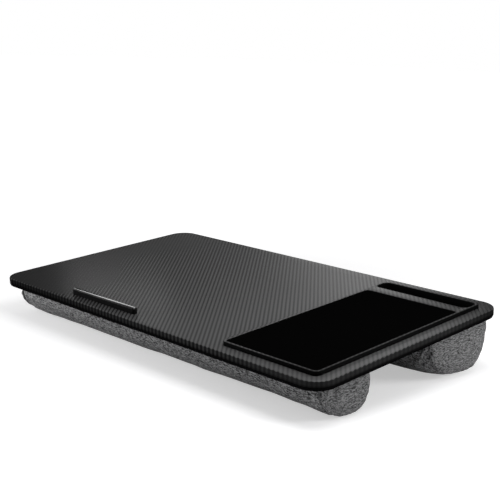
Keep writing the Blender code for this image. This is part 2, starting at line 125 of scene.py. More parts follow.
def pick(piece, kind, test):
    """In edit mode, selects the edges or faces of a piece that pass a test."""
    bpy.ops.mesh.select_mode(type=kind)
    bpy.ops.mesh.select_all(action="DESELECT")
    model = bmesh.from_edit_mesh(piece.data)
    chosen = [part for part in (model.edges if kind == "EDGE" else model.faces) if test(part)]
    for part in chosen:
        part.select_set(True)
    bmesh.update_edit_mesh(piece.data)
    return len(chosen)


def upright(edge):
    """True for an edge that stands straight up."""
    start, end = (vertex.co for vertex in edge.verts)
    return abs(end.z - start.z) > STRAIGHT * (end - start).length


def rim_at(height, low=None, high=None):
    """A test for the edges at one height between a wall and a level face, inside two corners."""
    def test(edge):
        middle = (edge.verts[0].co + edge.verts[1].co) / 2
        slopes = sorted(abs(face.normal.z) for face in edge.link_faces)
        level = all(abs(vertex.co.z - height) < NEAR for vertex in edge.verts)
        inside = low is None or all(low[axis] - NEAR < middle[axis] < high[axis] + NEAR for axis in (0, 1))
        return level and inside and slopes[0] < WALL_SLOPE and slopes[1] > TOP_SLOPE
    return test

# %% [markdown]
# A slab is a cube drawn out to its two corners. Rounding is the bevel operator on picked edges.
# Openings are cut with a Boolean whose tool is deleted once it has been applied.

# %% Slabs, rounded edges and cuts
def slab(name, low, high):
    """Adds a cube and draws it out to fill the space between two corners."""
    bpy.ops.object.select_all(action="DESELECT")
    bpy.ops.mesh.primitive_cube_add(size=1, location=(low + high) / 2, scale=high - low)
    piece = bpy.context.object
    piece.name = piece.data.name = name
    bpy.ops.object.transform_apply(location=True, rotation=True, scale=True)
    return piece


def round_off(piece, test, radius, segments):
    """Bevels the edges that pass a test into a round."""
    only(piece)
    bpy.ops.object.mode_set(mode="EDIT")
    count = pick(piece, "EDGE", test)
    bpy.ops.mesh.bevel(offset=radius, offset_type="OFFSET", segments=segments, affect="EDGES")
    bpy.ops.object.mode_set(mode="OBJECT")
    print(f"{piece.name}: {count} edges rounded to {radius * 1000:.2f} mm")


def rounded_slab(name, low, high, corner, segments):
    """A slab with its upright edges rounded."""
    piece = slab(name, low, high)
    round_off(piece, upright, corner, segments)
    return piece


def apply_modifier(piece, kind, **settings):
    """Adds a modifier with its settings and applies it at once."""
    modifier = piece.modifiers.new(kind.lower(), kind)
    for key, value in settings.items():
        setattr(modifier, key, value)
    only(piece)
    bpy.ops.object.modifier_apply(modifier=modifier.name)


def combine(piece, tool, operation):
    """Cuts a tool out of a piece, or joins it on, and deletes the tool."""
    apply_modifier(piece, "BOOLEAN", operation=operation, solver="EXACT", object=tool)
    bpy.data.objects.remove(tool, do_unlink=True)

# %% [markdown]
# The last steps are the same for every hard piece: smooth shading that keeps real edges, the
# lean of the board applied to the mesh, and the link to the solid that the piece stands for.

# %% Finishing a piece
SMOOTH_ANGLE = math.radians(32)


def lean_back(piece):
    """Lays a level piece onto the leaning board, with its place kept in the mesh."""
    piece.rotation_euler = (TILT, 0.0, 0.0)
    piece.location = (0.0, SHIFT, LIFT)
    only(piece)
    bpy.ops.object.transform_apply(location=True, rotation=True, scale=True)


def hand_over(piece, slot, *solids):
    """Shades a piece, ties it to the tray and lets it stand for its solids."""
    only(piece)
    bpy.ops.object.shade_smooth_by_angle(angle=SMOOTH_ANGLE)
    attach(piece, "root")
    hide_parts(*solids)
    print(f"{piece.name}: {len(piece.data.polygons)} faces")

# %% [markdown]
# ## The board
# The real board is a thin fibreboard panel. A printed film is laid over its top and wrapped down
# the edge, and stops short of the underside, where the panel is painted black. The film is a
# shell of its own: a rounded slab that is bisected above the lip and given a wall.

# %% Printed film
film = rounded_slab("board_film", BOARD_LOW, BOARD_HIGH, BOARD_CORNER, BOARD_STEPS)
round_off(film, rim_at(BOARD_HIGH.z), TOP_ROUND, segments=7)
bpy.ops.object.mode_set(mode="EDIT")
bpy.ops.mesh.select_all(action="SELECT")
bpy.ops.mesh.bisect(plane_co=(0.0, 0.0, FILM_LIP + GAP), plane_no=(0.0, 0.0, 1.0), clear_inner=True)
bpy.ops.object.mode_set(mode="OBJECT")
apply_modifier(film, "SOLIDIFY", thickness=FILM, offset=-1.0, use_even_offset=True)
AROUND_CUP = CUP_WALL + GAP
OPENING = (Vector((SLOT_LOW.x - AROUND_CUP, SLOT_LOW.y - AROUND_CUP, OPENING_BOTTOM)),
           Vector((SLOT_HIGH.x + AROUND_CUP, SLOT_HIGH.y + AROUND_CUP, OPENING_TOP)),
           SLOT_CORNER + AROUND_CUP, CUP_STEPS)
combine(film, rounded_slab("film_opening", *OPENING), "DIFFERENCE")
lean_back(film)
hand_over(film, "printed_foil", "board_foil")

# %% [markdown]
# The panel is a slightly smaller slab. Its lowest three millimetres are pushed out along their
# normals, which leaves the step that the film's edge stands on.

# %% Screw pockets
SCREW_INSET, SCREW_ROWS = 0.020, (-0.1007, 0.0582)
POCKET_RADIUS, POCKET_DEPTH = 0.0038, 0.0029
SHANK_RADIUS, POCKET_STEPS = 0.00205, 32


def screw_pocket(name, x, y):
    """A countersink from below: a cylinder whose inner end is drawn in to the screw's shank."""
    bpy.ops.object.select_all(action="DESELECT")
    bpy.ops.mesh.primitive_cylinder_add(vertices=POCKET_STEPS, radius=POCKET_RADIUS, depth=2 * POCKET_DEPTH,
                                        location=(x, y, 0.0))
    piece = bpy.context.object
    piece.name = piece.data.name = name
    bpy.ops.object.transform_apply(location=True, rotation=True, scale=True)
    bpy.ops.object.mode_set(mode="EDIT")
    pick(piece, "FACE", lambda face: face.normal.z > TOP_SLOPE)
    share = SHANK_RADIUS / POCKET_RADIUS
    bpy.ops.transform.resize(value=(share, share, 1.0), center_override=(x, y, POCKET_DEPTH))
    bpy.ops.object.mode_set(mode="OBJECT")
    return piece


# %% Panel
WRAP = FILM + GAP
INSET = Vector((WRAP, WRAP, 0.0))
panel = rounded_slab("board_panel", BOARD_LOW + INSET, BOARD_HIGH - INSET - Vector((0.0, 0.0, WRAP)),
                     BOARD_CORNER - WRAP, BOARD_STEPS)
round_off(panel, rim_at(BOARD_HIGH.z - WRAP), TOP_ROUND - WRAP, segments=5)
bpy.ops.object.mode_set(mode="EDIT")
bpy.ops.mesh.select_all(action="SELECT")
bpy.ops.mesh.bisect(plane_co=(0.0, 0.0, FILM_LIP), plane_no=(0.0, 0.0, 1.0))
pick(panel, "FACE", lambda face: abs(face.normal.z) < WALL_SLOPE and face.calc_center_median().z < FILM_LIP)
bpy.ops.mesh.extrude_region_shrink_fatten(TRANSFORM_OT_shrink_fatten={"value": WRAP, "use_even_offset": True})
bpy.ops.object.mode_set(mode="OBJECT")
round_off(panel, rim_at(0.0), BOTTOM_ROUND, segments=5)
combine(panel, rounded_slab("panel_opening", *OPENING), "DIFFERENCE")
for x in (PLATFORM_LOW.x + SCREW_INSET, PLATFORM_HIGH.x - SCREW_INSET):
    for y in SCREW_ROWS:
        combine(panel, screw_pocket("screw_pocket", x, y), "DIFFERENCE")
lean_back(panel)
hand_over(panel, "board_core", "board_core")

# %% [markdown]
# ## The platform
# One moulding carries the mouse pad and the phone slot. The cup of the slot hangs below it,
# through the board. The recess and the slot are cut first, and their fresh edges are rounded
# afterwards, as a mould would leave them.

# %% Platform
platform = rounded_slab("platform", PLATFORM_LOW, PLATFORM_HIGH, PLATFORM_CORNER, PIECE_STEPS)
round_off(platform, rim_at(PLATFORM_HIGH.z), PLATFORM_ROUND, segments=4)
cup_wall = Vector((CUP_WALL, CUP_WALL, CUP_WALL))
cup_high = Vector((SLOT_HIGH.x + CUP_WALL, SLOT_HIGH.y + CUP_WALL, CUP_TOP))
cup = rounded_slab("cup", SLOT_LOW - cup_wall, cup_high, SLOT_CORNER + CUP_WALL, CUP_STEPS)
combine(platform, cup, "UNION")
combine(platform, rounded_slab("recess", RECESS_LOW, RECESS_HIGH, PAD_CORNER + GAP, CUP_STEPS), "DIFFERENCE")
combine(platform, rounded_slab("slot", SLOT_LOW, SLOT_HIGH, SLOT_CORNER, CUP_STEPS), "DIFFERENCE")
round_off(platform, rim_at(PLATFORM_HIGH.z, SLOT_LOW, SLOT_HIGH), SLOT_ROUND, segments=4)
round_off(platform, rim_at(PLATFORM_HIGH.z, RECESS_LOW, RECESS_HIGH), RECESS_ROUND, segments=3)
lean_back(platform)
hand_over(platform, "platform_plastic", "accessory_platform")

# %% [markdown]
# ## The mouse pad
# A cloth-faced pad lies in the recess. Its upper edge is rounded a little, as a cut edge is once
# it has been pressed.

# %% Mouse pad
pad = rounded_slab("pad", PAD_LOW, PAD_HIGH, PAD_CORNER, CUP_STEPS)
round_off(pad, rim_at(PAD_HIGH.z), PAD_ROUND, segments=3)
lean_back(pad)
hand_over(pad, "pad_cloth", "mouse_pad")

# %% [markdown]
# ## The ledge
# A bar keeps a device from sliding off. Only its top is polished, and mirrors a narrow lamp along
# its whole length, so it reads as a bright line on a black bar. A small round along its upper
# edge and at its ends keeps the bar smooth to the hand.

# %% Ledge
ledge = rounded_slab("ledge", LEDGE_LOW, LEDGE_HIGH, LEDGE_CORNER, PIECE_STEPS)
round_off(ledge, rim_at(LEDGE_HIGH.z), LEDGE_ROUND, segments=8)
lean_back(ledge)
hand_over(ledge, "ledge_plastic", "device_ledge")

# %% [markdown]
# ## The cushions
# Each cushion is a stuffed cloth tube with two sewn end panels. Its wrap, its ends and its filling
# are copied and joined, and a voxel remesh turns them into one closed skin with even faces. The
# cloth solver then blows that skin up a little, and one subdivision smooths it.

# %% One skin from wrap, ends and filling
VOXEL = 0.0035
SLACK = 0.0008
SEWN_TOP, SEWN_FADE = -0.0050, 0.010


def stuffed_form(name, *solids):
    """Copies solids, joins them and gives them one skin of even faces, slightly too small."""
    bpy.ops.object.select_all(action="DESELECT")
    for solid in solids:
        nodes[solid].select_set(True)
    bpy.context.view_layer.objects.active = nodes[solids[0]]
    bpy.ops.object.duplicate()
    bpy.ops.object.join()
    piece = bpy.context.object
    piece.parent = None
    piece.name = piece.data.name = name
    bpy.ops.object.mode_set(mode="EDIT")
    bpy.ops.mesh.select_all(action="SELECT")
    bpy.ops.mesh.remove_doubles(threshold=NEAR)
    bpy.ops.object.mode_set(mode="OBJECT")
    apply_modifier(piece, "REMESH", mode="VOXEL", voxel_size=VOXEL)
    bpy.ops.object.mode_set(mode="EDIT")
    bpy.ops.mesh.select_all(action="SELECT")
    bpy.ops.mesh.vertices_smooth(factor=0.5, repeat=2)
    bpy.ops.transform.shrink_fatten(value=-SLACK)
    bpy.ops.object.mode_set(mode="OBJECT")
    print(f"{name}: {len(piece.data.vertices)} points after the remesh")
    return piece


def board_height(place):
    """Height of a place above the underside of the leaning board."""
    return (place.z - LIFT) * math.cos(TILT) - (place.y - SHIFT) * math.sin(TILT)


def freedom(place):
    """0 on the sewn top of a cushion, and 1 from a centimetre below it."""
    return min(1.0, max(0.0, (SEWN_TOP - board_height(place)) / SEWN_FADE))

# %% [markdown]
# The cushion is sewn to the backing along its top, so those points are held. The rest may only
# move outwards, and by no more than a few millimetres, so the corners stay full. Each point's
# swell is evened with its neighbours', and the cushion is pressed flat where it rests.

# %% Stuffing by cloth pressure
PRESSURE, PRESSURE_FRAMES, CAP = 4.0, 20, 0.0050
SPARE_CLOTH = 0.004
EVENING_ROUNDS = 6


def evened(piece, values):
    """Averages a value of each point with those of its neighbours, several times."""
    edges = [tuple(edge.vertices) for edge in piece.data.edges]
    for _ in range(EVENING_ROUNDS):
        totals, counts = list(values), [1] * len(values)
        for a, b in edges:
            totals[a] += values[b]
            totals[b] += values[a]
            counts[a] += 1
            counts[b] += 1
        values = [total / count for total, count in zip(totals, counts)]
    return values


def blow_up(piece):
    """Inflates a cushion with cloth pressure and keeps the part of each move that swells it."""
    places = [vertex.co.copy() for vertex in piece.data.vertices]
    normals = [vertex.normal.copy() for vertex in piece.data.vertices]
    held = [i for i, place in enumerate(places) if board_height(place) > SEWN_TOP]
    piece.vertex_groups.new(name="sewn").add(held, 1.0, "REPLACE")
    cloth = piece.modifiers.new("stuffing", "CLOTH")
    cloth.settings.use_pressure = True
    cloth.settings.uniform_pressure_force = PRESSURE
    cloth.settings.effector_weights.gravity = 0.0
    cloth.settings.vertex_group_mass = "sewn"
    cloth.settings.shrink_min = -SPARE_CLOTH
    for step in range(1, PRESSURE_FRAMES + 1):
        bpy.context.scene.frame_set(step)
    only(piece)
    bpy.ops.object.modifier_apply(modifier=cloth.name)
    swells = evened(piece, [min(max((vertex.co - place).dot(normal), 0.0), CAP)
                            for vertex, place, normal in zip(piece.data.vertices, places, normals)])
    for vertex, place, normal, swell in zip(piece.data.vertices, places, normals, swells):
        vertex.co = place + normal * swell
    bpy.context.scene.frame_set(1)
    piece.vertex_groups.clear()
    mean_swell = sum(swells) / len(swells)
    print(f"{piece.name}: swells {mean_swell * 1000:.2f} mm, at most {max(swells) * 1000:.2f} mm")


def fit_to(piece, *solids):
    """Stretches a piece a little along and across, to the box of its solids, and rests it."""
    boxes = [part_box(name) for name in solids]
    places = [vertex.co for vertex in piece.data.vertices]
    for axis in (0, 1):
        low, high = min(box[0][axis] for box in boxes), max(box[1][axis] for box in boxes)
        own_low, own_high = min(place[axis] for place in places), max(place[axis] for place in places)
        print(f"{piece.name} axis {axis}: {own_low - low:+.5f} {own_high - high:+.5f}")
        for place in places:
            place[axis] = low + (place[axis] - own_low) * (high - low) / (own_high - own_low)
    for place in places:
        place.z = max(place.z, 0.0)

# %% [markdown]
# The filling is never spread quite evenly. A list of places along the cushion says how much
# fuller, or slacker, its sides are there than the solids.

# %% Uneven stuffing
FRONT_FULLNESS = ((-0.260, 0.0035), (-0.230, 0.0030), (-0.190, 0.0012), (-0.140, 0.0), (-0.025, -0.0011),
                  (0.040, -0.0010), (0.105, -0.0020), (0.165, -0.0026), (0.210, -0.0010), (0.260, 0.0014))
BACK_FULLNESS = ((-0.260, 0.0008), (-0.200, 0.0), (0.150, 0.0), (0.215, 0.0010), (0.260, 0.0010))


def fullness_at(x, stations):
    """The fullness between two stations, with a smooth passage from one to the next."""
    for (x0, value0), (x1, value1) in zip(stations, stations[1:]):
        if x < x1:
            share = max(0.0, (x - x0) / (x1 - x0))
            return value0 + (value1 - value0) * share * share * (3 - 2 * share)
    return stations[-1][1]


def stuff_unevenly(piece, stations):
    """Moves the sides of a cushion out or in along it, and leaves its sewn top in place."""
    moves = [vertex.normal * fullness_at(vertex.co.x, stations) * freedom(vertex.co)
             for vertex in piece.data.vertices]
    for vertex, move in zip(piece.data.vertices, moves):
        vertex.co += move

# %% [markdown]
# Sewing leaves its marks. The end seams are sharp lines, so the mesh first gets rows of edges
# there with the bisect operator: a narrow groove is sunk between them, and the end panel stands
# up beside it in a thin ridge. Short gathers run away from the seam along the long sides.

# %% Seam lines and gathers
SEAM_X = 0.2515
SEAM_ROWS = (-0.0022, -0.0012, -0.0006, 0.0, 0.0006, 0.0012, 0.0022)
STITCH_DEPTH, STITCH_HALF_WIDTH = 0.0018, 0.0007
VALLEY_DEPTH, VALLEY_HALF_WIDTH = 0.0014, 0.0034
RIDGE_HEIGHT, RIDGE_OFFSET, RIDGE_HALF_WIDTH = 0.0004, 0.0017, 0.0007
GATHER_DEPTH, GATHER_REACH, GATHER_SPACING, GATHER_END_SHARE = 0.0004, 0.012, 0.0110, 0.5
GATHER_DRIFT, DRIFT_SCALE = 2.5, 45
SECTION_RADIUS = 0.04
UNEVEN_DEPTH, UNEVEN_SIZE = 0.0006, 0.060


def hump(distance, half_width):
    """A smooth bell that is 1 in the middle and has faded at twice its half width."""
    return math.exp(-(distance / half_width) ** 2)


def sew(piece, middle):
    """Sinks the end seams of a cushion and adds its gathers; middle is its section's centre."""
    only(piece)
    bpy.ops.object.mode_set(mode="EDIT")
    for side in (-1, 1):
        for row in SEAM_ROWS:
            bpy.ops.mesh.select_all(action="SELECT")
            bpy.ops.mesh.bisect(plane_co=(side * (SEAM_X + row), 0.0, 0.0), plane_no=(1.0, 0.0, 0.0))
    bpy.ops.object.mode_set(mode="OBJECT")
    normals = [vertex.normal.copy() for vertex in piece.data.vertices]
    for vertex, normal in zip(piece.data.vertices, normals):
        place = vertex.co.copy()
        beyond = abs(place.x) - SEAM_X
        inward = Vector((0.0, middle[0] - place.y, middle[1] - place.z)).normalized()
        around = math.atan2(place.z - middle[1], place.y - middle[0]) * SECTION_RADIUS
        groove = STITCH_DEPTH * hump(beyond, STITCH_HALF_WIDTH)
        groove += VALLEY_DEPTH * hump(beyond, VALLEY_HALF_WIDTH)
        groove -= RIDGE_HEIGHT * hump(beyond - RIDGE_OFFSET, RIDGE_HALF_WIDTH)
        drift = GATHER_DRIFT * noise.noise(place * DRIFT_SCALE)
        wave = math.sin(2 * math.pi * around / GATHER_SPACING + drift)
        share = 1.0 if beyond < 0 else GATHER_END_SHARE
        gather = GATHER_DEPTH * wave * math.exp(-abs(beyond) / GATHER_REACH) * share
        uneven = UNEVEN_DEPTH * noise.noise(place / UNEVEN_SIZE)
        vertex.co = place + inward * groove + normal * (gather + uneven) * freedom(place)

# %% [markdown]
# A loose wrap also falls into a few larger folds beside its seams. Each fold is a line on the
# skin, from a start to an end: points near it are lifted into a ridge, or pressed into a valley
# where the depth is negative. The same folds are laid at both ends of a cushion.

# %% Larger folds
FRONT_FOLDS = (((0.2530, -0.1325, 0.0330), (0.2570, -0.1140, 0.0080), -0.0016, 0.0042),
               ((0.2350, -0.1380, 0.0340), (0.2460, -0.1200, 0.0100), -0.0022, 0.0080),
               ((0.2570, -0.1150, 0.0100), (0.2590, -0.1060, 0.0080), -0.0016, 0.0028))
BACK_FOLDS = (((0.2495, 0.0385, 0.0420), (0.2330, 0.0480, 0.0180), 0.0038, 0.0025),
              ((0.2500, 0.0400, 0.0360), (0.2440, 0.0470, 0.0220), -0.0026, 0.0028),
              ((0.2400, 0.0380, 0.0420), (0.2180, 0.0450, 0.0240), -0.0018, 0.0060))
FADE_SLOPE, FADE_LEAST = 2.5, 0.15


def fold(piece, start, end, height, half_width):
    """Lifts a ridge, or presses a valley, along a line on the skin, at both ends of a cushion."""
    for side in (-1, 1):
        first, last = Vector((side * start[0], *start[1:])), Vector((side * end[0], *end[1:]))
        line = last - first
        reach = line.length / 2 + 3 * half_width
        near = [vertex for vertex in piece.data.vertices if (vertex.co - (first + last) / 2).length < reach]
        moves = []
        for vertex in near:
            along = min(max((vertex.co - first).dot(line) / line.length_squared, 0.0), 1.0)
            distance = (vertex.co - first - line * along).length
            fade = min(1.0, FADE_SLOPE * (1.0 - along) + FADE_LEAST)
            moves.append(vertex.normal * height * hump(distance, half_width) * fade)
        for vertex, move in zip(near, moves):
            vertex.co += move

# %% [markdown]
# Both cushions take the same steps. In the end nothing may reach below the table, and the front
# cushion's left end is drawn in, as it is less full.

# %% Both cushions
ENDS = ("end_left", "end_right")
FRONT_MIDDLE, BACK_MIDDLE = (-0.095, 0.025), (0.095, 0.032)
SLACK_END = 0.78
cushions = {}
for word, middle, stations, folds in (("front", FRONT_MIDDLE, FRONT_FULLNESS, FRONT_FOLDS),
                                      ("back", BACK_MIDDLE, BACK_FULLNESS, BACK_FOLDS)):
    wrap = [f"{word}_cushion_{part}" for part in ("cover", *ENDS)]
    cushion = stuffed_form(f"{word}_cushion", *wrap, f"{word}_cushion_foam")
    blow_up(cushion)
    fit_to(cushion, *wrap)
    apply_modifier(cushion, "SUBSURF", levels=1, render_levels=1)
    fit_to(cushion, *wrap)
    stuff_unevenly(cushion, stations)
    sew(cushion, middle)
    for line in folds:
        fold(cushion, *line)
    for vertex in cushion.data.vertices:
        vertex.co.z = max(vertex.co.z, 0.0)
        if word == "front" and vertex.co.x < -SEAM_X:
            vertex.co.x = (vertex.co.x + SEAM_X) * SLACK_END - SEAM_X
    hand_over(cushion, "heather_cloth", *wrap, f"{word}_cushion_foam")
    cushions[word] = cushion

# %% [markdown]
# ## Writing materials as sums
# A shader is a small sum over numbers that change across the surface. The class below wraps a
# socket, so that plus, minus, times and the rest add Math nodes, and one method of a finish adds
# any other node.

# %% Signals
class Signal:
    """A shader socket that carries a number and can be used in a Python expression."""

    def __init__(self, finish, socket):
        self.finish, self.socket = finish, socket

    def maths(self, operation, first, second=None):
        values = [value for value in (first, second) if value is not None]
        node = self.finish.add("ShaderNodeMath", {"operation": operation}, dict(enumerate(values)))
        return Signal(self.finish, node.outputs[0])

    def __add__(self, other):
        return self.maths("ADD", self, other)

    def __radd__(self, other):
        return self.maths("ADD", other, self)

    def __sub__(self, other):
        return self.maths("SUBTRACT", self, other)

    def __rsub__(self, other):
        return self.maths("SUBTRACT", other, self)

    def __mul__(self, other):
        return self.maths("MULTIPLY", self, other)

    def __truediv__(self, other):
        return self.maths("DIVIDE", self, other)

    def __mod__(self, other):
        return self.maths("FLOORED_MODULO", self, other)

    def __lt__(self, other):
        return self.maths("LESS_THAN", self, other)

    def floor(self):
        return self.maths("FLOOR", self)

    def part(self):
        return self.maths("FRACT", self)

    def size(self):
        return self.maths("ABSOLUTE", self)

    def cosine(self):
        return self.maths("COSINE", self)

    def between(self, low, high):
        """Runs from 0 to 1 as the signal goes from low to high, with soft ends."""
        node = self.finish.add("ShaderNodeMapRange", {"interpolation_type": "SMOOTHSTEP"},
                               {"Value": self, "From Min": low, "From Max": high})
        return Signal(self.finish, node.outputs[0])

# %% [markdown]
# A finish is one material in the making. It knows the place on the object, both in the room's
# axes and in the board's own axes, where a mapping node takes the lean out again.

# %% Finishes
class Finish:
    """A material under construction, with one way to add any node."""

    def __init__(self, name, **constants):
        self.material = bpy.data.materials.new(name)
        self.material.use_nodes = True
        self.tree = self.material.node_tree
        self.shader = self.tree.nodes["Principled BSDF"]
        for key, value in constants.items():
            self.shader.inputs[key.replace("_", " ")].default_value = value
        self.place = self.add("ShaderNodeTexCoord").outputs["Object"]

    def add(self, kind, settings=None, inputs=None):
        """Adds a node, first its settings, then the values or links of its sockets."""
        node = self.tree.nodes.new(kind)
        for key, value in (settings or {}).items():
            setattr(node, key, value)
        for key, value in (inputs or {}).items():
            self.feed(node.inputs[key], value)
        return node

    def feed(self, socket, value):
        if isinstance(value, Signal):
            value = value.socket
        if isinstance(value, bpy.types.NodeSocket):
            self.tree.links.new(value, socket)
        else:
            socket.default_value = value

    def set(self, socket, value):
        self.feed(self.shader.inputs[socket], value)

    def on_board(self):
        """The place in the board's own axes, as three signals in metres."""
        moved = self.add("ShaderNodeVectorMath", {"operation": "SUBTRACT"},
                         {0: self.place, 1: (0.0, SHIFT, LIFT)})
        turned = self.add("ShaderNodeVectorRotate", {"rotation_type": "X_AXIS"},
                          {"Vector": moved.outputs[0], "Angle": -TILT})
        return self.axes(turned.outputs[0])

    def axes(self, vector):
        split = self.add("ShaderNodeSeparateXYZ", None, {0: vector})
        return [Signal(self, socket) for socket in split.outputs]

    def stretched(self, scale):
        """The place with each axis scaled by its own number."""
        node = self.add("ShaderNodeVectorMath", {"operation": "MULTIPLY"}, {0: self.place, 1: scale})
        return node.outputs[0]

    def speckle(self, vector, scale, detail=2.0, roughness=0.5):
        """Noise that is as fine as its scale says."""
        node = self.add("ShaderNodeTexNoise", None, {"Vector": vector, "Scale": scale, "Detail": detail,
                                                     "Roughness": roughness})
        return Signal(self, node.outputs["Fac"])

    def blend(self, amount, first, second):
        """A colour between two, which a Mix node takes at sockets 6 and 7 and gives at socket 2."""
        node = self.add("ShaderNodeMix", {"data_type": "RGBA"}, {"Factor": amount, 6: first, 7: second})
        return node.outputs[2]

    def relief(self, height, distance, strength):
        """Bumps the surface by a height signal."""
        bump = self.add("ShaderNodeBump", None,
                        {"Height": height, "Distance": distance, "Strength": strength})
        self.set("Normal", bump.outputs["Normal"])


def grey(value):
    """A grey with a trace of blue."""
    return (value, value, value * 1.01, 1.0)


def paint(material, *pieces):
    """Gives pieces a material of their own in place of any other."""
    for piece in pieces:
        piece.data.materials.clear()
        piece.data.materials.append(material)
    print(f"{material.name}: {len(material.node_tree.nodes)} nodes, on", [piece.name for piece in pieces])

# %% [markdown]
# ## Printed film
# The print imitates a carbon twill. Each thread passes over two and under two, one step further
# in each row, and the steps line up as diagonal ribs. Two whole-number grids give the row and
# column of a thread, and their sum modulo four says which one is on top. The threads are a
# little wider from front to back than across, so the ribs run a little steeper than 45 degrees.

# %% Twill
THREAD_X, THREAD_Y = 0.00150, 0.00170
OVER, REPEAT = 1.5, 4.0
RIB_START = math.pi * 0.75
RIB_SHARE, OVER_SHARE, BACK_SHARE = 0.62, 0.22, 0.16


def twill(finish, x, y):
    """The tone of the ribs and the height of the threads' round backs, both from 0 to 1."""
    column, row = x / THREAD_X, y / THREAD_Y
    over = ((column.floor() + row.floor()) % REPEAT) < OVER
    across_column, across_row = column.part() * 2.0 - 1.0, row.part() * 2.0 - 1.0
    back_column = 1.0 - across_column * across_column
    back_row = 1.0 - across_row * across_row
    back = over * back_column + (1.0 - over) * back_row
    rib = ((column + row) * (math.pi / 2) - RIB_START).cosine() * 0.5 + 0.5
    return rib * RIB_SHARE + over * OVER_SHARE + back * BACK_SHARE, back

# %% [markdown]
# Painted shade makes the print darker on the walls than on the level face, and black at their foot,
# where less light falls. Painted light makes it dark at the left end and light at the right, and its
# ribs go from crisp to calm along the board. Painted shade darkens two corners further. A satin
# lacquer covers the face only.

# %% Carbon-look film
RIB_LIGHT, RIB_DARK = 0.116, 0.012
# Painted light: the print is darker at the left end and lighter at the right.
ALONG, LEFT_SHADE = (-0.25, 0.26), 0.50
CRISP, RIGHT_CONTRAST = (-0.12, 0.10), 0.50
RIGHT_END, RIGHT_CALM, CALM_TONE = (0.10, 0.26), 0.50, 0.45
# Painted shade: the front left and far right corners of the print are darkened further.
LEFT_CORNER_X, LEFT_CORNER_Y, LEFT_CORNER_SHADE = (-0.20, 0.06), (-0.10, 0.02), 0.38
RIGHT_CORNER_X, RIGHT_CORNER_Y, RIGHT_CORNER_SHADE = (0.20, 0.262), (0.04, 0.16), 0.60
FACE, FACE_WAVE = (0.0093, 0.0099), 0.0006
# Painted shade: the print is darkened on the walls and made black at their foot, where less light falls.
FOOT, FOOT_SHADE = (0.0020, 0.0068), 0.008
WALL_SHADE, WALL_RIB, WALL_CONTRAST = 0.28, 0.60, 1.40
FIBRE_SCALE, FIBRE_LEAST, FIBRE_SHARE = 5200.0, 0.86, 0.28
LACQUER = {"Specular_IOR_Level": 0.0, "Coat_IOR": 1.30, "Coat_Roughness": 0.26}
COATED, COAT, RIB_COAT = (0.0093, 0.0098), 0.62, 0.12
PRINT_ROUGHNESS, BACK_GLOSS = 0.62, 0.10
PRINT_RELIEF = 0.00005

film_finish = Finish("carbon_film", **LACQUER)
x, y, z = film_finish.on_board()
rib, back = twill(film_finish, x, y)
fibre = film_finish.speckle(film_finish.place, FIBRE_SCALE, detail=1.0)
face = (z + (rib - 0.5) * FACE_WAVE).between(*FACE)
right_end = x.between(*RIGHT_END)
wall_rib = 1.0 + (rib - 0.5) * (1.0 - right_end) * WALL_CONTRAST
# Painted shade on the walls and at their foot.
painted_wall_shade = (z.between(*FOOT) * (WALL_SHADE - FOOT_SHADE) + FOOT_SHADE) * wall_rib
# Painted light along the board, dark at the left and light at the right.
painted_light_along = x.between(*ALONG) * (1.0 - LEFT_SHADE) + LEFT_SHADE
# Painted shade in two corners.
painted_left_corner_shade = (1.0 - x.between(*LEFT_CORNER_X)) * (1.0 - y.between(*LEFT_CORNER_Y)) * LEFT_CORNER_SHADE
painted_right_corner_shade = x.between(*RIGHT_CORNER_X) * y.between(*RIGHT_CORNER_Y) * RIGHT_CORNER_SHADE
tone = (face + (1.0 - face) * painted_wall_shade) * painted_light_along * (1.0 - painted_left_corner_shade) * (1.0 - painted_right_corner_shade)
calm = (1.0 - face) * (1.0 - WALL_RIB) + face * right_end * RIGHT_CALM
contrast = 1.0 - x.between(*CRISP) * (1.0 - RIGHT_CONTRAST)
amount = (rib * (1.0 - calm) + calm * CALM_TONE) * (FIBRE_LEAST + fibre * FIBRE_SHARE)
printed = film_finish.blend((amount - 0.5) * contrast + 0.5, grey(RIB_DARK), grey(RIB_LIGHT))
film_finish.set("Base Color", film_finish.blend(tone, grey(0.0), printed))
film_finish.set("Roughness", PRINT_ROUGHNESS - back * BACK_GLOSS)
film_finish.set("Coat Weight", z.between(*COATED) * (COAT + rib * RIB_COAT))
film_finish.relief(back, PRINT_RELIEF, strength=0.5)
paint(film_finish.material, film)

# %% [markdown]
# ## Platform
# Only the level top of the platform shows the print. Its walls and the slot are bare black
# plastic, so the print is mixed in by height and the wall keeps the moulding's fine grain. Painted
# shade darkens the top towards its right end, where its coat is also thinner.

# %% Platform plastic
MOULDED_TONE, GRAIN_SCALE = 0.0025, 2600.0
LEFT_LIGHT, LEFT_DARK = 0.072, 0.030
# Painted shade: the right end's colours are the same print, darker.
RIGHT_SHADED_LIGHT, RIGHT_SHADED_DARK = 0.032, 0.014
TOP_RIB, TOP_FADE = 0.8, (0.13, 0.27)
TOP_COAT, FADED_COAT, WALL_COAT = 0.60, 0.34, 0.06
MOULDED_ROUGHNESS, GRAIN_ROUGHNESS, MOULDED_RELIEF = 0.60, 0.04, 0.00004

platform_finish = Finish("platform_plastic", **LACQUER)
x, y, z = platform_finish.on_board()
rib, back = twill(platform_finish, x, y)
on_top = z.between(PLATFORM_HIGH.z - 0.0005, PLATFORM_HIGH.z - 0.0001)
grain = platform_finish.speckle(platform_finish.place, GRAIN_SCALE)
